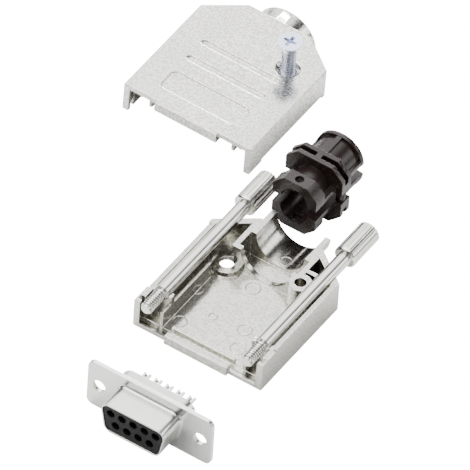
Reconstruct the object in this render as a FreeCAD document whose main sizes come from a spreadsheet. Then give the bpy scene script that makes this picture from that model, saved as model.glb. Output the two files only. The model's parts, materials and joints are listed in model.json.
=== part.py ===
"""Nine-way D-sub connector kit laid out on the bench: die-cast hood, clamp, screws and socket insert.

Row frame: +Y runs from the mating end towards the cable, +X to the right and +Z up.
The origin is the middle of the lower hood half's underside.
"""

import FreeCAD, Part
import math
import os

import Sketcher

SIZES = {
    # Hood casting, one pattern for both halves
    "hood_length": 35.0,
    "side_margin": 3.5,
    "rear_slant": 6.2,
    "collar_shoulder": 0.5,
    "half_height": 7.5,
    "wall": 1.5,
    "floor_plate": 1.2,
    "cast_edge": 0.3,
    "corner_edge": 0.7,
    "lip_height": 0.6,
    "lip_wall": 0.75,
    "lip_start": 5.0,
    "lip_short": 1.2,
    "collar_bore": 6.0,
    "collar_wall": 1.3,
    "collar_length": 3.5,
    "saddle_length": 10.0,
    "saddle_wall": 1.2,
    "ring_wall": 1.2,
    "groove_length": 4.4,
    "boss_beside_jack": 3.5,
    "boss_from_rear": 10.5,
    "ring_boss": 3.25,
    "ring_boss_height": 2.4,
    "thread_boss": 2.5,
    "thread_bore": 1.25,
    "thread_depth": 5.5,
    "cross_rib": 1.0,
    "rib_gap": 0.6,
    "fin_wall": 0.8,
    "fin_to_boss": 4.5,
    "fin_height": 5.4,
    "notch_wall_front": 5.0,
    "notch_wall": 1.2,
    "tongue_width": 15.6,
    "tongue_front": 0.8,
    "tongue_height": 2.4,
    "tongue_wall": 0.9,
    "ridge_wall": 0.9,
    "panel_width": 19.5,
    "panel_front": 3.9,
    "panel_length": 5.7,
    "panel_corner": 1.5,
    "panel_depth": 0.3,
    "slot_width": 1.4,
    "slot_to_screw": 0.85,
    "slot_depth": 0.5,
    # Cover screw, countersunk
    "cover_screw_radius": 1.5,
    "cover_screw_length": 10.0,
    "cover_screw_head": 2.75,
    "cover_screw_rim": 0.25,
    "cover_screw_started": 2.0,
    "recess_width": 0.75,
    "recess_span": 3.0,
    "recess_depth": 1.3,
    # Jack screws
    "jack_pitch": 25.0,
    "jack_thread": 1.42,
    "jack_thread_length": 6.2,
    "jack_shank": 1.6,
    "jack_stand_off": 0.5,
    "jack_head": 2.6,
    "jack_head_length": 9.5,
    "jack_tip_ahead": 1.0,
    "jack_chamfer": 0.5,
    "flute_count": 18.0,
    "flute_depth": 0.3,
    "flute_land": 0.9,
    # Cable clamp half, one pattern for both
    "clamp_block_width": 10.8,
    "clamp_block_length": 7.2,
    "clamp_block_depth": 5.4,
    "clamp_block_bevel": 2.5,
    "clamp_front_wall": 3.2,
    "clamp_trough_wall": 0.9,
    "clamp_ledge": 1.3,
    "cable_radius": 3.3,
    "plate_wall": 1.1,
    "plate_gap": 1.2,
    "plate_width": 14.2,
    "plate_depth": 6.5,
    "plate_bevel": 2.8,
    "bridge_width": 1.4,
    "bridge_depth": 1.3,
    "barrel_length": 7.2,
    "barrel_radius": 5.0,
    "barrel_bore": 4.0,
    "barrel_rim": 5.7,
    "rim_wall": 1.1,
    "barrel_rib": 1.2,
    "peg_across": 11.8,
    "peg_radius": 1.0,
    "peg_length": 3.2,
    "ear_depth": 2.2,
    "ear_reach": 3.0,
    "tie_hole": 0.95,
    "clamp_open": 2.7,
    # Socket insert
    "flange_end": 2.9,
    "flange_height": 12.5,
    "flange_corner": 1.6,
    "sheet": 0.5,
    "flange_hole": 1.525,
    "shroud_width": 16.3,
    "shroud_height": 7.9,
    "shroud_depth": 6.3,
    "shroud_corner": 2.0,
    "draft_slope": 0.1763,
    "can_width": 19.3,
    "can_height": 10.7,
    "can_depth": 2.6,
    "can_corner": 3.0,
    "block_recess": 0.25,
    "block_base": 1.7,
    "contact_pitch": 2.77,
    "contact_rows": 2.84,
    "contact_sides": 8.0,
    "contact_radius": 0.85,
    "contact_bore": 0.55,
    "contact_bore_depth": 5.0,
    "contact_recess": 0.8,
    "cup_bore": 0.6,
    "cup_length": 4.2,
    "cup_open": 2.4,
    # Running and seating gaps
    "running_gap": 0.08,
    "slip_gap": 0.1,
    "seat_gap": 0.05,
    # Bench layout: clear spaces between the groups
    "cover_clear_left": 4.3,
    "cover_clear_behind": 14.9,
    "insert_right": 3.8,
    "insert_ahead": 23.1,
    "clamp_left": 4.0,
    "clamp_clear_behind": 3.0,
}


class Size:
    """A length: the expression that a feature is bound to, and its value for the first drawing."""

    def __init__(self, text, value):
        self.text = text
        self.value = value

    def _joined(self, other, sign, value):
        return Size(f"({self.text} {sign} {as_size(other).text})", value)

    def __add__(self, other):
        return self._joined(other, "+", self.value + as_size(other).value)

    def __sub__(self, other):
        return self._joined(other, "-", self.value - as_size(other).value)

    def __mul__(self, other):
        return self._joined(other, "*", self.value * as_size(other).value)

    def __truediv__(self, other):
        return self._joined(other, "/", self.value / as_size(other).value)

    def __neg__(self):
        return Size(f"(-1 * {self.text})", -self.value)

    def root(self):
        return Size(f"sqrt({self.text})", self.value ** 0.5)


def as_size(number):
    return number if isinstance(number, Size) else Size(repr(float(number)), float(number))


class Sheet:
    """The driving dimensions, each one read as an attribute that gives a Size."""

    def __init__(self, doc, sizes):
        cells = doc.addObject("Spreadsheet::Sheet", "Sizes")
        for row, (name, value) in enumerate(sizes.items(), 1):
            cells.set(f"A{row}", name)
            cells.set(f"B{row}", str(value))
            cells.setAlias(f"B{row}", name)
            setattr(self, name, Size(f"Sizes.{name}", value))


doc = FreeCAD.newDocument("dsub_kit")
size = Sheet(doc, SIZES)
doc.recompute()

ZERO = as_size(0)
BEYOND = as_size(2)
BOTH_SIDES = (as_size(-1), as_size(1))

# What follows from the screw pitch and the hood's length
hood_width = size.jack_pitch + size.side_margin * 2
flange_width = size.jack_pitch + size.flange_end * 2
boss_x = size.jack_pitch / 2 - size.boss_beside_jack
boss_y = size.hood_length - size.boss_from_rear
jack_length = size.jack_tip_ahead + size.hood_length + size.jack_stand_off + size.jack_head_length

# Sketch plane, the way along its normal, and which feature has to be turned round
PLANES = {"XY": ("XY_Plane", 1), "XZ": ("XZ_Plane", -1)}


def bind(item, prop, length):
    item.setExpression(prop, length.text)


def new_body(label):
    body = doc.addObject("PartDesign::Body", label)
    body.Label = label
    return body


def place(body, across, along, up, turn=None):
    """Put a sub-part at its place in the row frame; turn is its angle about +Y."""
    if turn is not None:
        body.Placement = FreeCAD.Placement(
            FreeCAD.Vector(0, 0, 0), FreeCAD.Rotation(FreeCAD.Vector(0, 1, 0), turn.value))
        bind(body, ".Placement.Rotation.Angle", turn)
    for axis, length in (("x", across), ("y", along), ("z", up)):
        bind(body, f".Placement.Base.{axis}", length)


def fix_point(sketch, geometry, position, point):
    """Hold one point of the sketch at its distances from the origin."""
    for kind, length, axis in (("DistanceX", point[0], -2), ("DistanceY", point[1], -1)):
        if length is ZERO:
            sketch.addConstraint(Sketcher.Constraint("PointOnObject", geometry, position, axis))
            continue
        index = sketch.addConstraint(
            Sketcher.Constraint(kind, -1, 1, geometry, position, length.value))
        sketch.setExpression(f"Constraints[{index}]", length.text)


def draw_polygon(sketch, points):
    first = sketch.GeometryCount
    corners = [FreeCAD.Vector(x.value, y.value, 0) for x, y in points]
    for start, end in zip(corners, corners[1:] + corners[:1]):
        sketch.addGeometry(Part.LineSegment(start, end), False)
    for index in range(len(points)):
        following = first + (index + 1) % len(points)
        sketch.addConstraint(Sketcher.Constraint("Coincident", first + index, 2, following, 1))
    for index, point in enumerate(points):
        fix_point(sketch, first + index, 1, point)


def draw_circle(sketch, centre, radius):
    middle = FreeCAD.Vector(centre[0].value, centre[1].value, 0)
    index = sketch.addGeometry(Part.Circle(middle, FreeCAD.Vector(0, 0, 1), radius.value), False)
    rule = sketch.addConstraint(Sketcher.Constraint("Radius", index, radius.value))
    sketch.setExpression(f"Constraints[{rule}]", radius.text)
    fix_point(sketch, index, 3, centre)


def rectangle(left, low, right, high):
    return [(left, low), (right, low), (right, high), (left, high)]


def draw(body, name, plane, loops, start):
    """A sketch on one of the body's origin planes, moved to start; a loop is points or a circle."""
    role, way = PLANES[plane]
    sketch = body.newObject("Sketcher::SketchObject", name)
    origin = [item for item in body.Origin.OriginFeatures if item.Role == role][0]
    sketch.AttachmentSupport = [(origin, "")]
    sketch.MapMode = "FlatFace"
    bind(sketch, ".AttachmentOffset.Base.z", start * way)
    for loop in loops:
        if isinstance(loop, tuple):
            draw_circle(sketch, *loop)
        else:
            draw_polygon(sketch, loop)
    return sketch


def pad(body, name, plane, loops, start, end):
    feature = body.newObject("PartDesign::Pad", name)
    feature.Profile = draw(body, name + "_outline", plane, loops, start)
    feature.Reversed = plane == "XZ"
    bind(feature, "Length", end - start)
    return feature


def pocket(body, name, plane, loops, start, end):
    feature = body.newObject("PartDesign::Pocket", name)
    feature.Profile = draw(body, name + "_outline", plane, loops, start)
    feature.Reversed = plane == "XY"
    bind(feature, "Length", end - start)
    return feature


def revolve(body, name, plane, points, kind="Revolution"):
    """Turn a profile about the sketch's upright axis, as an added or a removed form."""
    feature = body.newObject(f"PartDesign::{kind}", name)
    sketch = draw(body, name + "_profile", plane, [points], ZERO)
    feature.Profile = sketch
    feature.ReferenceAxis = (sketch, ["V_Axis"])
    feature.Angle = 360.0
    return feature


def round_edges(body, name, radius, wanted, kind="Fillet"):
    """Round or chamfer the edges of the body's last feature that wanted() picks."""
    doc.recompute()
    base = body.Tip
    names = [f"Edge{number}" for number, edge in enumerate(base.Shape.Edges, 1) if wanted(edge)]
    if not names:
        raise ValueError(f"{body.Label}: no edge for {name}")
    feature = body.newObject(f"PartDesign::{kind}", name)
    feature.Base = (base, names)
    bind(feature, "Radius" if kind == "Fillet" else "Size", radius)
    return feature


NEAR = 1e-4


def runs_along(edge, axis):
    """Whether a straight edge runs along one axis."""
    if not isinstance(edge.Curve, Part.Line):
        return False
    return abs(abs(getattr(edge.Curve.Direction, axis)) - 1.0) < NEAR


def lies_at(edge, axis, length):
    """Whether a whole edge lies in one plane across the axis."""
    low = getattr(edge.BoundBox, f"{axis.upper()}Min")
    high = getattr(edge.BoundBox, f"{axis.upper()}Max")
    return abs(low - length.value) < NEAR and abs(high - length.value) < NEAR


def draft_outline(width, height, slope):
    """A D outline: wide at the top, with both sides drawn in towards the bottom."""
    top = width / 2
    bottom = top - height * slope
    half = height / 2
    return [(-bottom, -half), (bottom, -half), (top, half), (-top, half)]


def inset_outline(width, height, slope, gap):
    """The same D outline, smaller by gap on every side."""
    lean = (slope * slope + 1).root()
    top = width / 2 - gap * (lean - slope)
    half = height / 2 - gap
    bottom = top - (height - gap * 2) * slope
    return [(-bottom, -half), (bottom, -half), (top, half), (-top, half)]


# Hood casting

def hood_half(label):
    """One die-cast half, open towards +Z, with its front edge at y = 0."""
    half_width = hood_width / 2
    inner_width = half_width - size.wall
    rear_half = size.collar_bore + size.collar_wall + size.collar_shoulder
    side_length = size.hood_length - size.rear_slant
    parting = size.half_height
    jack_x = size.jack_pitch / 2
    slant_x = half_width - rear_half
    slant_y = size.rear_slant
    slant = (slant_x * slant_x + slant_y * slant_y).root()
    inner_side = side_length - size.wall * (slant - slant_y) / slant_x
    inner_rear = rear_half - size.wall * (slant - slant_x) / slant_y
    rear_wall_front = size.hood_length - size.wall
    saddle_front = size.hood_length - size.saddle_length
    groove_front = saddle_front + size.ring_wall
    groove_rear = groove_front + size.groove_length
    collar_end = size.hood_length + size.collar_length
    neck_bore = size.collar_bore + size.slip_gap
    plate_space = size.plate_width / 2 + size.slip_gap
    saddle_half = plate_space + size.saddle_wall

    body = new_body(label)
    pad(body, "outline", "XY", [[
        (-half_width, ZERO), (half_width, ZERO), (half_width, side_length),
        (rear_half, size.hood_length), (-rear_half, size.hood_length),
        (-half_width, side_length)]], ZERO, parting)
    round_edges(body, "corner_rounding", size.corner_edge,
                lambda edge: runs_along(edge, "z") and edge.CenterOfMass.y > NEAR)
    round_edges(body, "cast_bevel", size.cast_edge,
                lambda edge: lies_at(edge, "z", ZERO) and not lies_at(edge, "y", ZERO), "Chamfer")
    pad(body, "collar", "XZ", [((ZERO, parting), size.collar_bore + size.collar_wall)],
        size.hood_length - size.wall, collar_end)
    pocket(body, "cavity", "XY", [[
        (-inner_width, -BEYOND), (inner_width, -BEYOND), (inner_width, inner_side),
        (inner_rear, rear_wall_front), (-inner_rear, rear_wall_front),
        (-inner_width, inner_side)]], size.floor_plate, parting + BEYOND)

    pad(body, "saddle", "XY",
        [rectangle(-saddle_half, saddle_front, saddle_half, rear_wall_front)],
        size.floor_plate, parting)
    rib_front = boss_y + size.thread_boss + size.rib_gap
    pad(body, "cross_rib", "XY",
        [rectangle(saddle_half, rib_front, inner_width, rib_front + size.cross_rib)],
        size.floor_plate, parting)
    fin_outer = jack_x - size.jack_shank - size.running_gap * 2
    fin_inner = fin_outer - size.fin_wall
    notch_rear = size.notch_wall_front + size.notch_wall
    slot_front = size.tongue_wall
    slot_rear = slot_front + size.sheet * 2 + size.slip_gap * 2
    pad(body, "fins", "XY", [
        rectangle(side * fin_inner, slot_rear, side * fin_outer, boss_y - size.fin_to_boss)
        for side in BOTH_SIDES], size.floor_plate, size.fin_height)
    pad(body, "notch_walls", "XY", [
        rectangle(side * fin_inner, size.notch_wall_front, side * inner_width, notch_rear)
        for side in BOTH_SIDES], size.floor_plate, parting)
    pad(body, "ring_boss", "XY", [((-boss_x, boss_y), size.ring_boss)],
        size.floor_plate, size.ring_boss_height)
    pad(body, "thread_boss", "XY", [((boss_x, boss_y), size.thread_boss)],
        size.floor_plate, parting)

    tongue_half = size.tongue_width / 2
    pad(body, "tongue", "XY",
        [rectangle(-tongue_half, -size.tongue_front, tongue_half, slot_front)],
        ZERO, size.tongue_height)
    pad(body, "ridge", "XY",
        [rectangle(-tongue_half, slot_rear, tongue_half, slot_rear + size.ridge_wall)],
        size.floor_plate, size.tongue_height)
    slot_half = flange_width / 2 + size.slip_gap
    pocket(body, "flange_slot", "XY", [rectangle(-slot_half, slot_front, slot_half, slot_rear)],
           parting - size.flange_height / 2 - size.slip_gap, parting + BEYOND)

    axis = (ZERO, parting)
    pocket(body, "neck", "XZ", [(axis, neck_bore)], saddle_front - BEYOND / 4,
           groove_front + BEYOND / 4)
    pocket(body, "plate_groove", "XY",
           [rectangle(-plate_space, groove_front, plate_space, groove_rear)],
           parting - size.plate_depth - size.slip_gap, parting + BEYOND)
    pocket(body, "trough", "XZ", [(axis, size.collar_bore)], groove_rear - BEYOND / 4,
           collar_end + BEYOND)
    jack_clear = size.jack_shank + size.running_gap
    pocket(body, "jack_channels", "XZ",
           [((side * jack_x, parting), jack_clear) for side in BOTH_SIDES],
           -BEYOND, size.hood_length + BEYOND)
    outer_collar = size.collar_bore + size.collar_wall
    lip_end = side_length - size.lip_short
    pocket(body, "parting_face", "XY",
           [rectangle(-outer_collar - BEYOND, lip_end, outer_collar + BEYOND,
                      collar_end + BEYOND)], parting, parting + outer_collar + BEYOND)

    pad(body, "lip", "XY",
        [rectangle(half_width - size.lip_wall, size.lip_start, half_width, lip_end)],
        parting, parting + size.lip_height)
    pocket(body, "lip_rebate", "XY",
           [rectangle(-half_width - BEYOND, size.lip_start - size.slip_gap,
                      -half_width + size.lip_wall + size.slip_gap, lip_end + size.slip_gap)],
           parting - size.lip_height - size.slip_gap, parting + BEYOND)

    panel_half = size.panel_width / 2
    pocket(body, "label_panel", "XY",
           [rectangle(-panel_half, size.panel_front, panel_half,
                      size.panel_front + size.panel_length)], -BEYOND, size.panel_depth)
    round_edges(body, "panel_corners", size.panel_corner,
                lambda edge: runs_along(edge, "z") and edge.BoundBox.ZMin < NEAR
                and edge.BoundBox.ZMax < (size.floor_plate / 2).value
                and edge.CenterOfMass.y > NEAR)
    sink_radius = size.cover_screw_head + size.slip_gap * 2
    second_slot = boss_y - sink_radius - size.slot_to_screw - size.slot_width
    panel_rear = size.panel_front + size.panel_length
    first_slot = panel_rear + (second_slot - panel_rear - size.slot_width) / 2
    for number, slot_start in enumerate((first_slot, second_slot), 1):
        pocket(body, f"grip_slot_{number}", "XY",
               [rectangle(-panel_half, slot_start, panel_half, slot_start + size.slot_width)],
               -BEYOND, size.slot_depth)
    round_edges(body, "slot_ends", size.slot_width / 3,
                lambda edge: runs_along(edge, "z") and edge.BoundBox.ZMin < NEAR
                and abs(edge.BoundBox.ZMax - size.slot_depth.value) < NEAR, "Chamfer")

    screw_clear = size.cover_screw_radius + size.slip_gap
    pocket(body, "screw_hole", "XY", [((-boss_x, boss_y), screw_clear)],
           -BEYOND, size.ring_boss_height + BEYOND)
    round_edges(body, "countersink", sink_radius - screw_clear,
                lambda edge: lies_at(edge, "z", ZERO) and isinstance(edge.Curve, Part.Circle)
                and abs(edge.Curve.Radius - screw_clear.value) < NEAR, "Chamfer")
    pocket(body, "thread_hole", "XY", [((boss_x, boss_y), size.thread_bore)],
           parting - size.thread_depth, parting + BEYOND)
    return body


# Screws

def cover_screw():
    """Countersunk screw with a cross recess; its head's face is at z = 0 and it points down."""
    body = new_body("cover_screw")
    head = size.cover_screw_head
    shank = size.cover_screw_radius
    cone_end = -(size.cover_screw_rim + head - shank)
    revolve(body, "screw_form", "XZ", [
        (ZERO, ZERO), (head, ZERO), (head, -size.cover_screw_rim), (shank, cone_end),
        (shank, -size.cover_screw_length), (ZERO, -size.cover_screw_length)])
    arm = size.recess_width / 2
    reach = size.recess_span / 2
    pocket(body, "cross_recess", "XY", [[
        (-reach, -arm), (-arm, -arm), (-arm, -reach), (arm, -reach), (arm, -arm), (reach, -arm),
        (reach, arm), (arm, arm), (arm, reach), (-arm, reach), (-arm, arm), (-reach, arm)]],
        -size.recess_depth, BEYOND)
    return body


def jack_screw(label):
    """Long thumb screw along +Y, from its thread's tip at y = 0 to its fluted head."""
    body = new_body(label)
    thread = size.jack_thread
    shank = size.jack_shank
    head = size.jack_head
    bevel = size.jack_chamfer
    shoulder = jack_length - size.jack_head_length
    revolve(body, "screw_form", "XY", [
        (ZERO, ZERO), (thread, ZERO), (thread, size.jack_thread_length),
        (shank, size.jack_thread_length), (shank, shoulder), (head - bevel, shoulder),
        (head, shoulder + bevel), (head, jack_length), (ZERO, jack_length)])
    flute = pocket(body, "flute", "XZ", [[
        (-size.flute_depth, head + size.flute_depth), (ZERO, head - size.flute_depth),
        (size.flute_depth, head + size.flute_depth)]],
        shoulder + size.flute_land, jack_length + BEYOND)
    ring = body.newObject("PartDesign::PolarPattern", "flutes")
    ring.Originals = [flute]
    ring.Axis = (flute.Profile[0], ["N_Axis"])
    ring.Angle = 360.0
    ring.Occurrences = int(size.flute_count.value)
    body.Tip = ring
    return body


# Cable clamp

def half_octagon(width, depth, bevel):
    half = width / 2
    return [(-half, ZERO), (-half, bevel - depth), (bevel - half, -depth),
            (half - bevel, -depth), (half, bevel - depth), (half, ZERO)]


def clamp_half(label):
    """One moulded clamp half, open towards +Z, with the cable's axis along Y at z = 0."""
    body = new_body(label)
    plates_front = size.clamp_block_length
    gap_front = plates_front + size.plate_wall
    gap_rear = gap_front + size.plate_gap
    plates_rear = gap_rear + size.plate_wall
    rear_end = plates_rear + size.barrel_length
    rim_front = rear_end - size.rim_wall
    axis = (ZERO, ZERO)
    pad(body, "block", "XZ", [half_octagon(
        size.clamp_block_width, size.clamp_block_depth, size.clamp_block_bevel)],
        ZERO, size.clamp_front_wall)
    pad(body, "trough_wall", "XZ", [(axis, size.cable_radius + size.clamp_trough_wall)],
        size.clamp_front_wall / 2, gap_rear)
    block_half = size.clamp_block_width / 2
    pad(body, "ledges", "XZ", [rectangle(-block_half, -size.clamp_ledge, block_half, ZERO)],
        size.clamp_front_wall / 2, gap_rear)
    plate = half_octagon(size.plate_width, size.plate_depth, size.plate_bevel)
    pad(body, "front_plate", "XZ", [plate], plates_front, gap_front)
    pad(body, "rear_plate", "XZ", [plate], gap_rear, plates_rear)
    bridge = size.bridge_width / 2
    pad(body, "bridge", "XZ",
        [rectangle(-bridge, -size.plate_depth, bridge, -size.plate_depth + size.bridge_depth)],
        gap_front - size.plate_wall / 2, gap_rear + size.plate_wall / 2)
    pad(body, "barrel", "XZ", [(axis, size.barrel_radius)], gap_rear, rear_end)
    pad(body, "rim", "XZ", [(axis, size.barrel_rim)], rim_front, rear_end)
    rib = size.barrel_rib / 2
    pad(body, "keel_rib", "XZ",
        [rectangle(-rib, -size.barrel_rim + size.slip_gap, rib, -size.barrel_bore - size.seat_gap)],
        gap_rear, rim_front + size.rim_wall / 2)
    edge_out = size.barrel_rim - size.slip_gap
    for side, sign in zip(("left", "right"), BOTH_SIDES):
        pad(body, f"{side}_edge_rib", "XZ",
            [rectangle(sign * (size.barrel_bore + size.seat_gap), -size.barrel_rib,
                       sign * edge_out, ZERO)], gap_rear, rim_front + size.rim_wall / 2)
    plate_half = size.plate_width / 2
    for side, sign in zip(("left", "right"), BOTH_SIDES):
        pad(body, f"{side}_ear", "XY",
            [rectangle(sign * (plate_half - size.ear_reach), plates_front + size.plate_wall / 2,
                       sign * plate_half, plates_rear - size.plate_wall / 2)],
            -size.ear_depth, ZERO)
    pocket(body, "upper_side", "XY",
           [rectangle(-plate_half - BEYOND, -BEYOND, plate_half + BEYOND, rear_end + BEYOND)],
           ZERO, size.barrel_rim + BEYOND)
    pocket(body, "cable_trough", "XZ", [(axis, size.cable_radius)], -BEYOND, rear_end + BEYOND)
    pocket(body, "barrel_bore_cut", "XZ", [(axis, size.barrel_bore)],
           gap_rear, rear_end + BEYOND)
    peg_x = size.peg_across / 2
    peg_y = (gap_front + gap_rear) / 2
    pad(body, "peg", "XY", [((peg_x, peg_y), size.peg_radius)], -size.ear_depth / 2,
        size.peg_length)
    pocket(body, "peg_hole", "XY", [((-peg_x, peg_y), size.peg_radius + size.seat_gap)],
           -size.peg_length - size.slip_gap * 2, BEYOND)
    pocket(body, "tie_hole_cut", "XY", [((ZERO, size.clamp_front_wall / 2), size.tie_hole)],
           -size.clamp_block_depth - BEYOND, ZERO)
    return body


# Socket insert; its own frame has the two flanges meeting at y = 0, the shroud towards -Y

def flange_holes():
    half = size.jack_pitch / 2
    return [((-half, ZERO), size.flange_hole), ((half, ZERO), size.flange_hole)]


def flange_outline():
    half_x = flange_width / 2
    half_z = size.flange_height / 2
    return rectangle(-half_x, -half_z, half_x, half_z)


def front_shell():
    body = new_body("front_shell")
    front = -size.sheet - size.shroud_depth
    pad(body, "flange", "XZ", [flange_outline()], -size.sheet, ZERO)
    round_edges(body, "flange_corners", size.flange_corner, lambda edge: runs_along(edge, "y"))
    pad(body, "shroud", "XZ",
        [draft_outline(size.shroud_width, size.shroud_height, size.draft_slope)],
        front, -size.sheet / 2)
    pocket(body, "shroud_inside", "XZ",
           [inset_outline(size.shroud_width, size.shroud_height, size.draft_slope, size.sheet)],
           front - BEYOND, BEYOND)
    round_edges(body, "inside_corners", size.shroud_corner - size.sheet,
                lambda edge: runs_along(edge, "y")
                and edge.Length > size.shroud_depth.value + NEAR)
    round_edges(body, "shroud_corners", size.shroud_corner,
                lambda edge: runs_along(edge, "y")
                and abs(edge.Length - size.shroud_depth.value) < NEAR)
    pocket(body, "screw_holes", "XZ", flange_holes(), -size.sheet - BEYOND, BEYOND)
    return body


def rear_shell():
    body = new_body("rear_shell")
    end = size.sheet + size.can_depth
    pad(body, "flange", "XZ", [flange_outline()], ZERO, size.sheet)
    round_edges(body, "flange_corners", size.flange_corner, lambda edge: runs_along(edge, "y"))
    pad(body, "can", "XZ", [draft_outline(size.can_width, size.can_height, size.draft_slope)],
        size.sheet / 2, end)
    pocket(body, "can_inside", "XZ",
           [inset_outline(size.can_width, size.can_height, size.draft_slope, size.sheet)],
           -BEYOND, end + BEYOND)
    round_edges(body, "inside_corners", size.can_corner - size.sheet,
                lambda edge: runs_along(edge, "y")
                and edge.Length > size.can_depth.value + NEAR)
    round_edges(body, "can_corners", size.can_corner,
                lambda edge: runs_along(edge, "y")
                and abs(edge.Length - size.can_depth.value) < NEAR)
    pocket(body, "screw_holes", "XZ", flange_holes(), -BEYOND, size.sheet + BEYOND)
    return body


# The insert's two rows: how many contacts, and on which side of the middle
CONTACT_ROWS = ((5, 1), (4, -1))


def contact_places():
    """The nine contact positions, five in the upper row and four in the lower."""
    return [(size.contact_pitch * (index - (count - 1) / 2), size.contact_rows / 2 * side)
            for count, side in CONTACT_ROWS for index in range(count)]


def small_round(radius, across=ZERO, up=ZERO):
    """The outline of a small round form that repeats, with few sides to keep its faces few."""
    sides = int(size.contact_sides.value)
    turns = [math.tau * (index + 0.5) / sides for index in range(sides)]
    return [(across + radius * math.cos(turn), up + radius * math.sin(turn)) for turn in turns]


def contact_row_holes(body, name, start, end):
    """Cut the holes of both contact rows, each row as a pattern of its first hole."""
    radius = size.contact_radius + size.seat_gap
    for count, side in CONTACT_ROWS:
        row = f"{name}_{count}"
        across = size.contact_pitch * ((1 - count) / 2)
        hole = pocket(body, row, "XZ",
                      [small_round(radius, across, size.contact_rows / 2 * side)], start, end)
        pattern = body.newObject("PartDesign::LinearPattern", row + "_row")
        pattern.Originals = [hole]
        pattern.Direction = (hole.Profile[0], ["H_Axis"])
        bind(pattern, "Length", size.contact_pitch * (count - 1))
        pattern.Occurrences = count
        body.Tip = pattern


def socket_block():
    body = new_body("socket_block")
    front = size.block_recess - size.sheet - size.shroud_depth
    around = size.sheet + size.seat_gap
    pad(body, "nose", "XZ",
        [inset_outline(size.shroud_width, size.shroud_height, size.draft_slope, around)],
        front, size.sheet)
    round_edges(body, "nose_corners", size.shroud_corner - around,
                lambda edge: runs_along(edge, "y"))
    pad(body, "base", "XZ",
        [inset_outline(size.can_width, size.can_height, size.draft_slope, around)],
        ZERO, size.block_base)
    round_edges(body, "base_corners", size.can_corner - around,
                lambda edge: runs_along(edge, "y") and edge.BoundBox.YMin > -NEAR)
    contact_row_holes(body, "contact_holes", front - BEYOND, size.block_base + BEYOND)
    return body


def rear_insulator():
    body = new_body("rear_insulator")
    around = size.sheet + size.seat_gap
    end = size.sheet + size.can_depth - size.block_recess
    pad(body, "slab", "XZ",
        [inset_outline(size.can_width, size.can_height, size.draft_slope, around)],
        size.block_base, end)
    round_edges(body, "slab_corners", size.can_corner - around,
                lambda edge: runs_along(edge, "y"))
    contact_row_holes(body, "cup_holes", ZERO, end + BEYOND)
    return body


def contact(label, side):
    """One contact along +Y: a bored socket and a solder cup open towards side."""
    body = new_body(label)
    front = size.contact_recess - size.sheet - size.shroud_depth
    end = size.sheet + size.can_depth + size.cup_length
    cup_floor = end - size.cup_open
    pad(body, "rod", "XZ", [small_round(size.contact_radius)], front, end)
    pocket(body, "socket_bore", "XZ", [small_round(size.contact_bore)], front - BEYOND,
           front + size.contact_bore_depth)
    wide = size.contact_radius + BEYOND
    low, high = (ZERO, wide) if side > 0 else (-wide, ZERO)
    pocket(body, "cup_opening", "XZ", [rectangle(-wide, low, wide, high)], cup_floor, end + BEYOND)
    pocket(body, "cup_hollow", "XZ", [small_round(size.cup_bore)], cup_floor, end + BEYOND)
    return body


def lay_out():
    """Build every piece and put it at its place on the bench; returns the finished bodies."""
    front_edge = -size.hood_length / 2
    slope = size.lip_height / (hood_width - size.lip_wall * 2)
    lean_cos = as_size(1) / (slope * slope + 1).root()
    lean_sin = slope * lean_cos
    turned = Size("180 deg", 180.0)
    turned_leaning = Size(f"180 deg + atan({slope.text})", 180.0)

    lower = hood_half("lower_half")
    place(lower, ZERO, front_edge, ZERO)
    upper = hood_half("upper_half")
    cover_x = -hood_width - size.cover_clear_left
    cover_y = front_edge + size.hood_length + size.cover_clear_behind
    cover_z = (size.half_height + size.lip_height / 2) * lean_cos
    place(upper, cover_x, cover_y, cover_z, turned_leaning)

    screw = cover_screw()
    face_z = cover_z - boss_x * lean_sin
    screw_top = face_z + size.cover_screw_length - size.cover_screw_started
    place(screw, cover_x + boss_x * lean_cos, cover_y + boss_y, screw_top)

    jacks = []
    for side, sign in zip(("left", "right"), BOTH_SIDES):
        jack = jack_screw(f"jack_screw_{side}")
        place(jack, sign * size.jack_pitch / 2, front_edge - size.jack_tip_ahead,
              size.half_height)
        jacks.append(jack)

    clamp_x = -size.clamp_left
    clamp_y = front_edge + size.hood_length + size.collar_length + size.clamp_clear_behind
    clamp_lower = clamp_half("clamp_lower")
    place(clamp_lower, clamp_x, clamp_y, size.plate_depth)
    clamp_upper = clamp_half("clamp_upper")
    place(clamp_upper, clamp_x, clamp_y, size.plate_depth + size.clamp_open, turned)

    insert = [front_shell(), rear_shell(), socket_block(), rear_insulator()]
    contacts = []
    insert_y = front_edge - size.insert_ahead
    insert_z = size.flange_height / 2
    for piece in insert:
        place(piece, size.insert_right, insert_y, insert_z)
    for number, (across, up) in enumerate(contact_places(), 1):
        piece = contact(f"contact_{number}", up.value)
        place(piece, size.insert_right + across, insert_y, insert_z + up)
        contacts.append(piece)
    return [lower, upper, screw, *jacks, clamp_lower, clamp_upper, *insert, *contacts]


def write(pieces):
    """Check the whole document, then write each sub-part's solid to its own file."""
    doc.recompute()
    for item in doc.Objects:
        if "Invalid" in item.State or "Error" in item.State:
            raise ValueError(f"{item.Label} failed: {item.State}")
    for piece in pieces:
        shape = piece.Shape
        if shape.isNull() or not shape.isValid() or len(shape.Solids) != 1:
            raise ValueError(f"{piece.Label} is not one valid solid")
    os.makedirs("parts", exist_ok=True)
    for piece in pieces:
        piece.Shape.exportStep(f"parts/{piece.Label}.step")
        box = piece.Shape.BoundBox
        print(f"{piece.Label}: {piece.Shape.Volume:.2f} mm3, x {box.XMin:.2f}..{box.XMax:.2f},"
              f" y {box.YMin:.2f}..{box.YMax:.2f}, z {box.ZMin:.2f}..{box.ZMax:.2f}")


write(lay_out())
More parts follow.
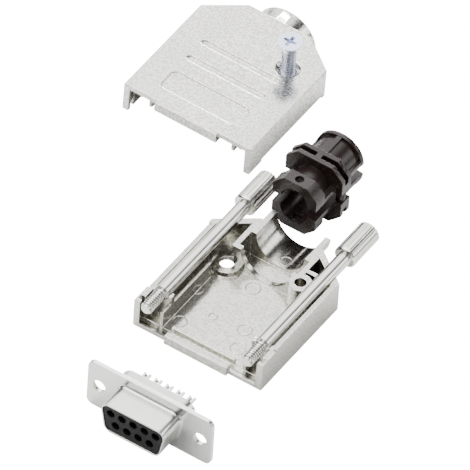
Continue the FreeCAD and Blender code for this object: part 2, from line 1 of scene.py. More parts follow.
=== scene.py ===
"""Dressed model of a nine-way connector kit, laid out open on a pale bench.

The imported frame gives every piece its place. This script gives each of them its finish, models the
small forms that the frame leaves plain, and sets up the floor, the light and the camera.
"""

import json
import logging
import math
from collections.abc import Callable
from dataclasses import dataclass
from enum import Enum

import bpy
from mathutils import Matrix, Vector

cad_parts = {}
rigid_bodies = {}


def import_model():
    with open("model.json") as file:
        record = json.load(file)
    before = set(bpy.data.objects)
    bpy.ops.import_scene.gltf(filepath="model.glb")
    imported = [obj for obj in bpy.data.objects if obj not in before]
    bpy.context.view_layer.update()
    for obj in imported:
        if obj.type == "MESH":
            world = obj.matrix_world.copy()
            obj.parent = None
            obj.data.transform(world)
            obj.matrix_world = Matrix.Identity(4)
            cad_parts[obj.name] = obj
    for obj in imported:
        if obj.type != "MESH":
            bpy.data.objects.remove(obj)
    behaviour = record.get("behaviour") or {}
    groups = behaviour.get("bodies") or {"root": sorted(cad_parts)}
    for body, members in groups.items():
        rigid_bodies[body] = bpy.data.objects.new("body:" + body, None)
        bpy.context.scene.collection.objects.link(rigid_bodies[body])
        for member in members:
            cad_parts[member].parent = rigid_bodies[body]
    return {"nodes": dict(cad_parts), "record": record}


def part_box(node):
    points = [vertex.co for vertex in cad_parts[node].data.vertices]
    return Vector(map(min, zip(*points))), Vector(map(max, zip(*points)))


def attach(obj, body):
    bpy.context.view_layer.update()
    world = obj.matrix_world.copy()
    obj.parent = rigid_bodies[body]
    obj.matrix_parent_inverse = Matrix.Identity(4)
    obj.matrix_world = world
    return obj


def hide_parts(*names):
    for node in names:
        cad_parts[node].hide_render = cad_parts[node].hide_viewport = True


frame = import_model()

LOG = logging.getLogger("connector_kit")
MM = 0.001
NEAR = 0.01 * MM
CONTACT_NUMBERS = range(1, 10)

# A Mix node's colour sockets share their names with its other sockets, so they go by number
MIX_COLOUR_A = 6
MIX_COLOUR_B = 7
MIX_COLOUR_RESULT = 2

Colour = tuple[float, float, float]
Place = tuple[float, float, float]
EdgeTest = Callable[[list[Vector], list[bpy.types.MeshPolygon]], bool]


class Slot(Enum):
    """The record's material slots."""

    CAST_HOOD = "cast_hood"
    ZINC_SCREW = "zinc_screw"
    NICKEL_SCREW = "nickel_screw"
    CLAMP_PLASTIC = "clamp_plastic"
    TINNED_SHELL = "tinned_shell"
    SOCKET_PLASTIC = "socket_plastic"
    CONTACT_METAL = "contact_metal"


class Corner(Enum):
    """How bevelled edges meet at an outer corner."""

    ARC = "MITER_ARC"
    SHARP = "MITER_SHARP"


class ScrewAxis(Enum):
    """The axis that a screw lies or stands along."""

    LYING = "Y"
    STANDING = "Z"


class OuterFace(Enum):
    """Which way a casting's broad outer face looks, as the sign of its height."""

    UP = 1.0
    DOWN = -1.0


class BoxSide(Enum):
    """Where a drawn shell's box stands, seen from its flange."""

    FRONT = "front"
    REAR = "rear"


class NodeGraph:
    """Writes shader nodes into one node tree, from left to right."""

    STEP = 220.0

    def __init__(self, tree: bpy.types.NodeTree) -> None:
        """Start on an emptied node tree.

        Args:
            tree: The node tree of a material, a world or a group.
        """
        self.tree = tree
        self.column = 0
        tree.nodes.clear()

    def add(self, kind: str, **settings: object) -> bpy.types.Node:
        """Add one node.

        Args:
            kind: The node's type name, without its ShaderNode prefix.
            **settings: Properties of the node.

        Returns:
            The new node.
        """
        node = self.tree.nodes.new("ShaderNode" + kind)
        node.location = (self.column * self.STEP, 0.0)
        self.column += 1
        for name, value in settings.items():
            setattr(node, name, value)
        return node

    def join(self, source: bpy.types.NodeSocket, node: bpy.types.Node, socket: str | int) -> None:
        """Link an output socket to a node's named or numbered input."""
        self.tree.links.new(source, node.inputs[socket])


def set_inputs(node: bpy.types.Node, values: dict[str | int, object]) -> bpy.types.Node:
    """Set unlinked input sockets of a node.

    Args:
        node: The node to set.
        values: Socket names or numbers with their values.

    Returns:
        The same node.
    """
    for socket, value in values.items():
        node.inputs[socket].default_value = value
    return node


class SurfaceGroup:
    """A shader node group that several finishes share, built once and placed in each of them."""

    name = "surface_group"
    inputs: tuple[tuple[str, str, float], ...] = ()
    outputs: tuple[tuple[str, str], ...] = ()

    def tree(self) -> bpy.types.NodeTree:
        """Give the group's node tree, building it the first time."""
        found = bpy.data.node_groups.get(self.name)
        return found if found else self._build()

    def place(self, graph: NodeGraph, **values: float) -> bpy.types.Node:
        """Put the group into a material.

        Args:
            graph: The material's graph.
            **values: The group's input values, with underscores for spaces.

        Returns:
            The group's node.
        """
        node = graph.add("Group", node_tree=self.tree())
        for name, value in values.items():
            node.inputs[name.replace("_", " ")].default_value = value
        return node

    def _build(self) -> bpy.types.NodeTree:
        """Make the group's sockets and let the subclass write what lies between them.

        Returns:
            The finished node tree.
        """
        tree = bpy.data.node_groups.new(self.name, "ShaderNodeTree")
        graph = NodeGraph(tree)
        for name, kind, value in self.inputs:
            socket = tree.interface.new_socket(name=name, in_out="INPUT", socket_type=kind)
            if kind == "NodeSocketFloat":
                socket.default_value = value
        for name, kind in self.outputs:
            tree.interface.new_socket(name=name, in_out="OUTPUT", socket_type=kind)
        start = tree.nodes.new("NodeGroupInput")
        end = tree.nodes.new("NodeGroupOutput")
        self._write(graph, start, end)
        return tree

    def _write(self, graph: NodeGraph, start: bpy.types.Node, end: bpy.types.Node) -> None:
        """Write the nodes between the group's input and output."""
        raise NotImplementedError

    @staticmethod
    def _noise(graph: NodeGraph, start: bpy.types.Node, size: str, detail: float,
               roughness: float) -> bpy.types.NodeSocket:
        """Add a noise whose size is one of the group's inputs, in millimetres.

        Args:
            graph: The group's graph.
            start: The group's input node.
            size: The name of the input that holds the size.
            detail: How many finer layers the noise has.
            roughness: How strong its finer layers are.

        Returns:
            The noise's value.
        """
        metres = graph.add("Math", operation="MULTIPLY")
        graph.join(start.outputs[size], metres, 0)
        metres.inputs[1].default_value = MM
        scale = graph.add("Math", operation="DIVIDE")
        scale.inputs[0].default_value = 1.0
        graph.join(metres.outputs[0], scale, 1)
        noise = set_inputs(graph.add("TexNoise"), {"Detail": detail, "Roughness": roughness})
        graph.join(start.outputs["Position"], noise, "Vector")
        graph.join(scale.outputs[0], noise, "Scale")
        return noise.outputs["Fac"]


class GrainGroup(SurfaceGroup):
    """Fine grain of a cast, plated or moulded skin: a height and a mask of pale specks."""

    name = "surface_grain"
    inputs = (
        ("Position", "NodeSocketVector", 0.0),
        ("Grain Size", "NodeSocketFloat", 0.12),
        ("Orange Peel Size", "NodeSocketFloat", 0.9),
        ("Peel Share", "NodeSocketFloat", 0.4),
    )
    outputs = (("Height", "NodeSocketFloat"), ("Speck Mask", "NodeSocketFloat"))
    grain_detail = 1.5
    peel_detail = 2.0
    layer_strength = 0.6
    speck_from = 0.42
    speck_to = 0.62

    def _write(self, graph: NodeGraph, start: bpy.types.Node, end: bpy.types.Node) -> None:
        """Mix a fine and a broad noise into a height, and pick the specks from the fine one.

        Args:
            graph: The group's graph.
            start: The group's input node.
            end: The group's output node.
        """
        fine = self._noise(graph, start, "Grain Size", self.grain_detail, self.layer_strength)
        broad = self._noise(graph, start, "Orange Peel Size", self.peel_detail,
                            self.layer_strength)
        mix = graph.add("Mix", data_type="FLOAT")
        graph.join(start.outputs["Peel Share"], mix, "Factor")
        graph.join(fine, mix, "A")
        graph.join(broad, mix, "B")
        graph.join(mix.outputs["Result"], end, "Height")
        speck = graph.add("ValToRGB")
        speck.color_ramp.elements[0].position = self.speck_from
        speck.color_ramp.elements[1].position = self.speck_to
        graph.join(fine, speck, "Fac")
        graph.join(speck.outputs["Color"], end, "Speck Mask")


class HandlingGroup(SurfaceGroup):
    """Broad uneven patches that fingers and plating leave, as a soft mask."""

    name = "handling_marks"
    inputs = (
        ("Position", "NodeSocketVector", 0.0),
        ("Patch Size", "NodeSocketFloat", 9.0),
    )
    outputs = (("Mask", "NodeSocketFloat"),)
    detail = 3.0
    layer_strength = 0.55
    patch_from = 0.35
    patch_to = 0.65

    def _write(self, graph: NodeGraph, start: bpy.types.Node, end: bpy.types.Node) -> None:
        """Stretch one soft noise into patches.

        Args:
            graph: The group's graph.
            start: The group's input node.
            end: The group's output node.
        """
        noise = self._noise(graph, start, "Patch Size", self.detail, self.layer_strength)
        spread = set_inputs(graph.add("MapRange"), {
            "From Min": self.patch_from, "From Max": self.patch_to})
        graph.join(noise, spread, "Value")
        graph.join(spread.outputs["Result"], end, "Mask")


@dataclass(frozen=True)
class Finish:
    """One surface finish: its colours, its gloss and its grain, with lengths in millimetres."""

    name: str
    colour: Colour
    speck: Colour
    metallic: float
    roughness: float
    roughness_spread: float
    specular: float
    grain: float
    peel: float
    peel_share: float
    depth: float
    slot: Slot

    def material(self) -> bpy.types.Material:
        """Give the finish's material, building it the first time.

        Returns:
            The material.
        """
        found = bpy.data.materials.get(self.name)
        if found:
            return found
        material = bpy.data.materials.new(self.name)
        material.use_nodes = True
        graph = NodeGraph(material.node_tree)
        place = graph.add("TexCoord")
        grain = GrainGroup().place(
            graph, Grain_Size=self.grain, Orange_Peel_Size=self.peel, Peel_Share=self.peel_share)
        marks = HandlingGroup().place(graph)
        for group in (grain, marks):
            graph.join(place.outputs["Object"], group, "Position")
        colour = set_inputs(graph.add("Mix", data_type="RGBA"), {
            MIX_COLOUR_A: (*self.colour, 1.0), MIX_COLOUR_B: (*self.speck, 1.0)})
        graph.join(grain.outputs["Speck Mask"], colour, "Factor")
        rough = set_inputs(graph.add("MapRange"), {
            "To Min": self.roughness - self.roughness_spread / 2,
            "To Max": self.roughness + self.roughness_spread / 2})
        graph.join(marks.outputs["Mask"], rough, "Value")
        bump = set_inputs(graph.add("Bump"), {"Strength": 1.0, "Distance": self.depth * MM})
        graph.join(grain.outputs["Height"], bump, "Height")
        shader = set_inputs(graph.add("BsdfPrincipled"), {
            "Metallic": self.metallic, "Specular IOR Level": self.specular})
        graph.join(colour.outputs[MIX_COLOUR_RESULT], shader, "Base Color")
        graph.join(rough.outputs["Result"], shader, "Roughness")
        graph.join(bump.outputs["Normal"], shader, "Normal")
        output = graph.add("OutputMaterial")
        graph.join(shader.outputs["BSDF"], output, "Surface")
        return material


CAST_NICKEL = Finish(
    "cast_nickel", colour=(0.54, 0.533, 0.495), speck=(0.88, 0.874, 0.835), metallic=1.0,
    roughness=0.2, roughness_spread=0.06, specular=0.5, grain=0.5, peel=2.2, peel_share=0.3,
    depth=0.03, slot=Slot.CAST_HOOD)
SMOOTH_CAST_NICKEL = Finish(
    "smooth_cast_nickel", colour=(0.49, 0.485, 0.44), speck=(0.69, 0.682, 0.632), metallic=1.0,
    roughness=0.16, roughness_spread=0.06, specular=0.5, grain=0.5, peel=2.2, peel_share=0.5,
    depth=0.016, slot=Slot.CAST_HOOD)
BRIGHT_NICKEL = Finish(
    "bright_nickel", colour=(0.74, 0.73, 0.68), speck=(0.82, 0.81, 0.77), metallic=1.0,
    roughness=0.2, roughness_spread=0.06, specular=0.5, grain=0.3, peel=2.0, peel_share=0.6,
    depth=0.004, slot=Slot.NICKEL_SCREW)
BLUE_ZINC = Finish(
    "blue_zinc", colour=(0.66, 0.70, 0.84), speck=(0.74, 0.77, 0.90), metallic=1.0,
    roughness=0.26, roughness_spread=0.08, specular=0.5, grain=0.2, peel=1.5, peel_share=0.5,
    depth=0.004, slot=Slot.ZINC_SCREW)
TIN_PLATE = Finish(
    "tin_plate", colour=(0.70, 0.70, 0.68), speck=(0.79, 0.79, 0.775), metallic=1.0,
    roughness=0.23, roughness_spread=0.08, specular=0.5, grain=0.25, peel=3.0, peel_share=0.7,
    depth=0.004, slot=Slot.TINNED_SHELL)
CLAMP_PLASTIC = Finish(
    "brown_black_moulding", colour=(0.014, 0.008, 0.0065), speck=(0.017, 0.0105, 0.0085),
    metallic=0.0, roughness=0.25, roughness_spread=0.08, specular=0.36, grain=0.2, peel=1.5,
    peel_share=0.4, depth=0.008, slot=Slot.CLAMP_PLASTIC)
SOCKET_PLASTIC = Finish(
    "black_moulding", colour=(0.006, 0.006, 0.006), speck=(0.008, 0.008, 0.008),
    metallic=0.0, roughness=0.45, roughness_spread=0.12, specular=0.16, grain=0.15, peel=1.0,
    peel_share=0.3, depth=0.012, slot=Slot.SOCKET_PLASTIC)
CONTACT_TIN = Finish(
    "contact_tin", colour=(0.72, 0.71, 0.68), speck=(0.78, 0.77, 0.74), metallic=1.0,
    roughness=0.25, roughness_spread=0.1, specular=0.5, grain=0.2, peel=1.0, peel_share=0.5,
    depth=0.003, slot=Slot.CONTACT_METAL)


class Forge:
    """Small modelling steps on one piece, each made with Blender's own operators."""

    merge_reach = 0.001 * MM
    flat_angle = math.radians(0.5)
    sharp_angle = math.radians(50.0)
    smooth_angle = math.radians(38.0)
    soft_steps = 2
    round_steps = 3

    @staticmethod
    def select(piece: bpy.types.Object) -> None:
        """Leave edit mode and select one piece alone.

        Args:
            piece: The piece.
        """
        if bpy.context.object and bpy.context.object.mode != "OBJECT":
            bpy.ops.object.mode_set(mode="OBJECT")
        bpy.ops.object.select_all(action="DESELECT")
        piece.select_set(True)
        bpy.context.view_layer.objects.active = piece

    @classmethod
    def pick(cls, piece: bpy.types.Object, wanted: Callable[[Vector], bool]) -> None:
        """Enter edit mode with some vertices selected.

        Args:
            piece: The piece.
            wanted: Whether the vertex at a place is selected.
        """
        cls.select(piece)
        bpy.ops.object.mode_set(mode="EDIT")
        bpy.ops.mesh.select_mode(type="VERT")
        bpy.ops.mesh.select_all(action="DESELECT")
        bpy.ops.object.mode_set(mode="OBJECT")
        for vertex in piece.data.vertices:
            vertex.select = wanted(vertex.co)
        bpy.ops.object.mode_set(mode="EDIT")

    @classmethod
    def copy_node(cls, name: str) -> bpy.types.Object:
        """Copy a node of the frame and merge its loose triangles into flat faces.

        Args:
            name: The node's name.

        Returns:
            The copy, free of any parent and at its place.
        """
        cls.select(frame["nodes"][name])
        bpy.ops.object.duplicate()
        piece = bpy.context.object
        piece.name = f"{name}_finished"
        bpy.ops.object.parent_clear(type="CLEAR_KEEP_TRANSFORM")
        bpy.ops.object.mode_set(mode="EDIT")
        bpy.ops.mesh.select_all(action="SELECT")
        bpy.ops.mesh.remove_doubles(threshold=cls.merge_reach)
        bpy.ops.mesh.dissolve_limited(angle_limit=cls.flat_angle)
        bpy.ops.object.mode_set(mode="OBJECT")
        return piece

    @classmethod
    def modify(cls, piece: bpy.types.Object, kind: str, **settings: object) -> None:
        """Add a modifier and apply it.

        Args:
            piece: The piece.
            kind: The modifier's type.
            **settings: The modifier's settings.
        """
        cls.select(piece)
        modifier = piece.modifiers.new(kind.lower(), kind)
        for name, value in settings.items():
            setattr(modifier, name, value)
        bpy.ops.object.modifier_apply(modifier=modifier.name)

    @classmethod
    def soften(cls, piece: bpy.types.Object, width: float, corner: Corner = Corner.ARC) -> None:
        """Bevel every edge of a piece that is sharper than a chamfer's.

        Args:
            piece: The piece, with merged faces.
            width: The bevel's width in millimetres.
            corner: How the bevels meet at an outer corner.
        """
        cls.modify(piece, "BEVEL", width=width * MM, segments=cls.soft_steps,
                   limit_method="ANGLE", angle_limit=cls.sharp_angle, use_clamp_overlap=False,
                   miter_outer=corner.value)
        bpy.ops.object.shade_smooth_by_angle(angle=cls.smooth_angle)
        cls.modify(piece, "WEIGHTED_NORMAL", mode="FACE_AREA", weight=100, keep_sharp=True)

    @classmethod
    def round_edges(cls, piece: bpy.types.Object, width: float, wanted: EdgeTest) -> None:
        """Give some sharp edges of a piece a wider round.

        Args:
            piece: The piece, with merged faces.
            width: The round's width in millimetres.
            wanted: Whether an edge is rounded, from its two ends and the two faces beside it.
        """
        corners = piece.data.vertices
        beside: dict[tuple[int, int], list[bpy.types.MeshPolygon]] = {}
        for face in piece.data.polygons:
            for key in face.edge_keys:
                beside.setdefault(key, []).append(face)
        chosen = {
            key for key, sides in beside.items()
            if len(sides) == 2 and sides[0].normal.angle(sides[1].normal) > cls.sharp_angle
            and wanted([corners[corner].co for corner in key], sides)}
        cls.pick(piece, lambda place: False)
        bpy.ops.mesh.select_mode(type="EDGE")
        bpy.ops.object.mode_set(mode="OBJECT")
        for edge in piece.data.edges:
            edge.select = edge.key in chosen
        bpy.ops.object.mode_set(mode="EDIT")
        bpy.ops.mesh.bevel(offset=width * MM, segments=cls.round_steps, affect="EDGES",
                           clamp_overlap=False)
        bpy.ops.object.mode_set(mode="OBJECT")

    @classmethod
    def cut(cls, piece: bpy.types.Object, tools: list[bpy.types.Object]) -> None:
        """Cut the tools' shapes out of a piece and throw the tools away.

        Args:
            piece: The piece.
            tools: The shapes to cut out.
        """
        for tool in tools:
            cls.modify(piece, "BOOLEAN", object=tool, operation="DIFFERENCE", solver="EXACT")
            bpy.data.objects.remove(tool)

    @classmethod
    def join(cls, piece: bpy.types.Object, other: bpy.types.Object) -> None:
        """Make another piece a part of this one.

        Args:
            piece: The piece that stays.
            other: The piece that joins it.
        """
        cls.select(piece)
        other.select_set(True)
        bpy.ops.object.join()

    @staticmethod
    def settle(name: str) -> bpy.types.Object:
        """Name the primitive just added and put its place into its mesh.

        Args:
            name: The new piece's name.

        Returns:
            The piece.
        """
        piece = bpy.context.object
        piece.name = name
        bpy.ops.object.transform_apply(location=True, rotation=True, scale=True)
        return piece

    @classmethod
    def rod(cls, name: str, start: Vector, end: Vector, radius: float,
            sides: int = 32) -> bpy.types.Object:
        """Make a round rod between two points.

        Args:
            name: The rod's name.
            start: The middle of one end, in metres.
            end: The middle of the other end.
            radius: The rod's radius in metres.
            sides: How many faces go round it.

        Returns:
            The rod, with its place in its mesh.
        """
        bpy.ops.object.select_all(action="DESELECT")
        way = end - start
        bpy.ops.mesh.primitive_cylinder_add(
            vertices=sides, radius=radius, depth=way.length, location=(start + end) / 2,
            rotation=way.to_track_quat("Z", "Y").to_euler())
        return cls.settle(name)

    @classmethod
    def block(cls, name: str, low: Vector, high: Vector) -> bpy.types.Object:
        """Make a box between two corners.

        Args:
            name: The box's name.
            low: Its lowest corner, in metres.
            high: Its highest corner.

        Returns:
            The box, with its place in its mesh.
        """
        bpy.ops.object.select_all(action="DESELECT")
        bpy.ops.mesh.primitive_cube_add(size=1.0, location=(low + high) / 2, scale=high - low)
        return cls.settle(name)


@dataclass(frozen=True)
class Thread:
    """A helical thread, with lengths in millimetres and widths as shares of the pitch."""

    pitch: float
    crest: float
    depth: float
    root_width: float = 0.86
    crest_share: float = 0.16
    overlap: float = 1.1
    steps: int = 28

    def ridge(self, start: Vector, length: float, axis: ScrewAxis) -> bpy.types.Object:
        """Wind the thread's ridge round an axis.

        Args:
            start: The middle of the thread's first end, in metres.
            length: How far the thread runs, in metres.
            axis: The axis that it runs along.

        Returns:
            The ridge, closed and with its place in its mesh.
        """
        bpy.ops.object.select_all(action="DESELECT")
        bpy.ops.mesh.primitive_plane_add(size=1.0, location=start)
        piece = bpy.context.object
        middle = (self.crest - self.depth / 2) * MM
        bpy.ops.object.mode_set(mode="EDIT")
        bpy.ops.transform.resize(
            value=(self.depth * self.overlap * MM, self.pitch * self.root_width * MM, 1.0))
        bpy.ops.transform.translate(value=(middle, self.pitch / 2 * MM, 0.0))
        bpy.ops.mesh.delete(type="ONLY_FACE")
        bpy.ops.object.mode_set(mode="OBJECT")
        Forge.pick(piece, lambda place: place.x > middle)
        bpy.ops.transform.resize(value=(1.0, self.crest_share, 1.0))
        if axis is ScrewAxis.STANDING:
            bpy.ops.mesh.select_all(action="SELECT")
            bpy.ops.transform.rotate(value=math.radians(90.0), orient_axis="X",
                                     center_override=start)
        bpy.ops.object.mode_set(mode="OBJECT")
        turns = max(1, int(length / (self.pitch * MM)) - 1)
        Forge.modify(piece, "SCREW", axis=axis.value, angle=math.tau,
                     screw_offset=self.pitch * MM, iterations=turns, steps=self.steps,
                     render_steps=self.steps, use_merge_vertices=True,
                     merge_threshold=Forge.merge_reach / 2)
        self.close_ends(piece)
        bpy.ops.object.transform_apply(location=True, rotation=True, scale=True)
        return piece

    @staticmethod
    def close_ends(piece: bpy.types.Object) -> None:
        """Close the ridge's two four-sided ends and turn its faces outwards.

        Args:
            piece: The ridge, selected alone.
        """
        bpy.ops.object.mode_set(mode="EDIT")
        bpy.ops.mesh.select_all(action="SELECT")
        bpy.ops.mesh.fill_holes(sides=4)
        bpy.ops.mesh.select_all(action="SELECT")
        bpy.ops.mesh.normals_make_consistent(inside=False)
        Forge.select(piece)


@dataclass
class KitPiece:
    """A finished piece that stands in for one node of the frame, with sizes in millimetres."""

    node: str
    finish: Finish
    edge: float = 0.1

    def build(self) -> bpy.types.Object:
        """Model the piece, dress it and fix it to the node's body.

        Returns:
            The finished piece.
        """
        piece = self.shape()
        piece.data.materials.clear()
        piece.data.materials.append(self.finish.material())
        body = next(name for name, nodes in frame["record"]["behaviour"]["bodies"].items()
                    if self.node in nodes)
        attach(piece, body)
        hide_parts(self.node)
        LOG.info("built %s in %s: %d faces", piece.name, self.finish.name,
                 len(piece.data.polygons))
        return piece

    def shape(self) -> bpy.types.Object:
        """Model the piece as the node's own form with softened edges.

        Returns:
            The piece, not yet dressed.
        """
        piece = Forge.copy_node(self.node)
        self.form(piece)
        Forge.soften(piece, self.edge)
        return piece

    def form(self, piece: bpy.types.Object) -> None:
        """Change the node's form before its edges are softened; a plain piece keeps it."""


@dataclass
class CastHalf(KitPiece):
    """A die-cast hood half, rounder where its broad outer face ends.

    A face lies level where the height of its normal is more than level.
    """

    outer_face: OuterFace = OuterFace.UP
    rim: float = 0.2
    level: float = 0.9

    def form(self, piece: bpy.types.Object) -> None:
        """Round the edges that lie in the broad outer face, its outline and its recesses.

        Args:
            piece: The casting, with merged faces.
        """
        outer = max((face for face in piece.data.polygons
                     if face.normal.z * self.outer_face.value > self.level),
                    key=lambda face: face.area)

        def in_outer_face(ends: list[Vector], sides: list[bpy.types.MeshPolygon]) -> bool:
            """Whether both ends of an edge lie in the outer face."""
            return all(abs((end - outer.center).dot(outer.normal)) < NEAR for end in ends)

        Forge.round_edges(piece, self.rim, in_outer_face)


@dataclass
class DrawnShell(KitPiece):
    """A drawn steel shell, whose box rises from its flange with a round foot.

    A face is a wall of the box where its normal's share along the box is less than upright.
    """

    box_side: BoxSide = BoxSide.FRONT
    foot: float = 0.6
    upright: float = 0.1

    def form(self, piece: bpy.types.Object) -> None:
        """Round the foot of the drawn box.

        Args:
            piece: The shell, with merged faces.
        """
        low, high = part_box(self.node)
        middle = (low + high) / 2
        reach = low.y if self.box_side is BoxSide.FRONT else high.y
        corners = piece.data.vertices

        def at_foot(ends: list[Vector], sides: list[bpy.types.MeshPolygon]) -> bool:
            """Whether an edge is the foot of a wall that looks outwards."""
            walls = [face for face in sides if abs(face.normal.y) < self.upright]
            if len(walls) != 1 or any(abs(end.y - reach) < NEAR for end in ends):
                return False
            wall = walls[0]
            at_rim = any(abs(corners[corner].co.y - reach) < NEAR for corner in wall.vertices)
            return at_rim and (wall.center - middle).dot(wall.normal) > 0.0

        Forge.round_edges(piece, self.foot, at_foot)


@dataclass
class ClampHalf(KitPiece):
    """A moulded clamp half."""

    edge: float = 0.06


@dataclass
class ThreadedScrew(KitPiece):
    """A screw whose plain thread is cut down to its core and wound with a ridge.

    A vertex belongs to the thread where it is nearer the axis than the crest times slack.
    """

    edge: float = 0.05
    thread: Thread = Thread(pitch=0.635, crest=1.38, depth=0.34)
    thread_length: float = 6.2
    axis: ScrewAxis = ScrewAxis.LYING
    slack: float = 1.05

    def thread_ends(self) -> tuple[Vector, Vector]:
        """Give the middle points of the thread's first and last end.

        Returns:
            The end with the lower coordinate, then the other.
        """
        low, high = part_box(self.node)
        middle = (low + high) / 2
        start = Vector((middle.x, low.y, middle.z))
        return start, start + Vector((0.0, self.thread_length * MM, 0.0))

    def shape(self) -> bpy.types.Object:
        """Shrink the threaded length to its core, soften the edges and add the ridge.

        Returns:
            The screw, not yet dressed.
        """
        piece = Forge.copy_node(self.node)
        start, end = self.thread_ends()
        along = "XYZ".index(self.axis.value)
        low, high = start[along], end[along]
        reach = self.thread.crest * MM * self.slack

        def threaded(place: Vector) -> bool:
            """Whether a vertex lies on the thread's cylinder."""
            aside = place - start
            aside[along] = 0.0
            return low - NEAR < place[along] < high + NEAR and aside.length < reach

        Forge.pick(piece, threaded)
        scale = [(self.thread.crest - self.thread.depth) / self.thread.crest] * 3
        scale[along] = 1.0
        bpy.ops.transform.resize(value=scale, center_override=start)
        bpy.ops.object.mode_set(mode="OBJECT")
        Forge.soften(piece, self.edge, Corner.SHARP)
        Forge.join(piece, self.thread.ridge(start, high - low, self.axis))
        return piece


@dataclass
class CoverScrew(ThreadedScrew):
    """The countersunk screw, with its thread below the head's cone."""

    thread: Thread = Thread(pitch=0.5, crest=1.5, depth=0.26)
    axis: ScrewAxis = ScrewAxis.STANDING
    head: float = 1.6

    def thread_ends(self) -> tuple[Vector, Vector]:
        """Give the middle points of the thread's lowest and highest end.

        Returns:
            The lowest end, then the highest.
        """
        low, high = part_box(self.node)
        middle = (low + high) / 2
        return (Vector((middle.x, middle.y, low.z)),
                Vector((middle.x, middle.y, high.z - self.head * MM)))


@dataclass
class Insulator(KitPiece):
    """A moulded insulator, with its nine holes bored round."""

    edge: float = 0.06
    hole: float = 0.94

    def form(self, piece: bpy.types.Object) -> None:
        """Bore a hole for each contact.

        Args:
            piece: The insulator, with merged faces.
        """
        low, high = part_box(self.node)
        tools = []
        for number in CONTACT_NUMBERS:
            near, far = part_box(f"contact_{number}")
            middle = (near + far) / 2
            tools.append(Forge.rod(
                "drill", Vector((middle.x, low.y - MM, middle.z)),
                Vector((middle.x, high.y + MM, middle.z)), self.hole * MM))
        Forge.cut(piece, tools)


@dataclass
class Contact(KitPiece):
    """A socket contact, turned round, with a slit socket and an open solder cup."""

    edge: float = 0.025
    radius: float = 0.84
    bore: float = 0.58
    bore_length: float = 5.0
    slit: float = 0.16
    slit_length: float = 4.5
    cup: float = 0.42
    cup_length: float = 2.4
    cup_run: float = 0.6
    brim: float = 0.3
    sink: float = 1.0

    def shape(self) -> bpy.types.Object:
        """Turn the rod, then bore and slit its front and open its cup.

        Returns:
            The contact, not yet dressed.
        """
        low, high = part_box(self.node)
        middle = (low + high) / 2
        block_low, block_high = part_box("socket_block")
        upper = middle.z > (block_low.z + block_high.z) / 2
        front = Vector((middle.x, low.y + self.sink * MM, middle.z))
        rear = Vector((middle.x, high.y, middle.z))
        wide = Vector((MM, 0.0, 0.0))
        ahead = Vector((0.0, MM, 0.0))
        tall = Vector((0.0, 0.0, MM if upper else -MM))
        piece = Forge.rod(f"{self.node}_finished", front, rear, self.radius * MM)
        cup_floor = rear - ahead * self.cup_length
        corners = (cup_floor - wide + tall * self.brim, rear + wide + ahead + tall)
        lowest = Vector(min(a, b) for a, b in zip(*corners))
        highest = Vector(max(a, b) for a, b in zip(*corners))
        slit_half = Vector((self.slit / 2 * MM, 0.0, MM))
        slit_end = front + ahead * self.slit_length
        Forge.cut(piece, [
            Forge.rod("bore", front - ahead, front + ahead * self.bore_length, self.bore * MM),
            Forge.block("slit", front - ahead - slit_half, slit_end + slit_half),
            Forge.block("opening", lowest, highest),
            Forge.rod("hollow", cup_floor - ahead * self.cup_run, rear + ahead, self.cup * MM)])
        Forge.soften(piece, self.edge)
        return piece


@dataclass(frozen=True)
class EjectorMark:
    """A round mark that an ejector pin left on the lower half's floor, in millimetres."""

    across: float
    along: float
    radius: float
    up: float = 1.2
    ridge: float = 0.12
    sides: int = 48
    ridge_sides: int = 8

    def build(self, number: int) -> bpy.types.Object:
        """Lay a low ring on the casting.

        Args:
            number: The mark's number, for its name.

        Returns:
            The ring.
        """
        bpy.ops.object.select_all(action="DESELECT")
        bpy.ops.mesh.primitive_torus_add(
            major_radius=self.radius * MM, minor_radius=self.ridge * MM,
            major_segments=self.sides, minor_segments=self.ridge_sides,
            location=(self.across * MM, self.along * MM, self.up * MM))
        piece = Forge.settle(f"ejector_mark_{number}")
        bpy.ops.object.shade_smooth()
        piece.data.materials.append(SMOOTH_CAST_NICKEL.material())
        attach(piece, "kit")
        LOG.info("built %s in %s", piece.name, SMOOTH_CAST_NICKEL.name)
        return piece


@dataclass(frozen=True)
class SoftBox:
    """A large soft light far away: where it hangs, how wide it spreads and how bright it is."""

    way: Place
    inner: float
    outer: float
    power: float

    def add_to(self, graph: NodeGraph, direction: bpy.types.NodeSocket,
               total: bpy.types.NodeSocket) -> bpy.types.NodeSocket:
        """Add the soft box's brightness to what shines from each direction.

        Args:
            graph: The world's graph.
            direction: The direction that is looked in.
            total: The brightness so far.

        Returns:
            The brightness with this soft box.
        """
        near = graph.add("VectorMath", operation="DOT_PRODUCT")
        near.inputs[1].default_value = Vector(self.way).normalized()
        graph.join(direction, near, 0)
        fade = set_inputs(graph.add("MapRange", interpolation_type="SMOOTHSTEP"), {
            "From Min": math.cos(math.radians(self.outer)),
            "From Max": math.cos(math.radians(self.inner)),
            "To Min": 0.0, "To Max": self.power})
        graph.join(near.outputs["Value"], fade, "Value")
        added = graph.add("Math", operation="ADD")
        graph.join(total, added, 0)
        graph.join(fade.outputs["Result"], added, 1)
        return added.outputs[0]


@dataclass(frozen=True)
class Lamp:
    name: str
    place: Place
    size: float
    power: float

    def hang(self) -> None:
        """Hang the lamp in the scene."""
        light = bpy.data.lights.new(self.name, "AREA")
        light.size = self.size
        light.energy = self.power
        lamp = bpy.data.objects.new(self.name, light)
        lamp.location = self.place
        aim = -Vector(self.place)
        lamp.rotation_euler = aim.to_track_quat("-Z", "Y").to_euler()
        bpy.context.scene.collection.objects.link(lamp)


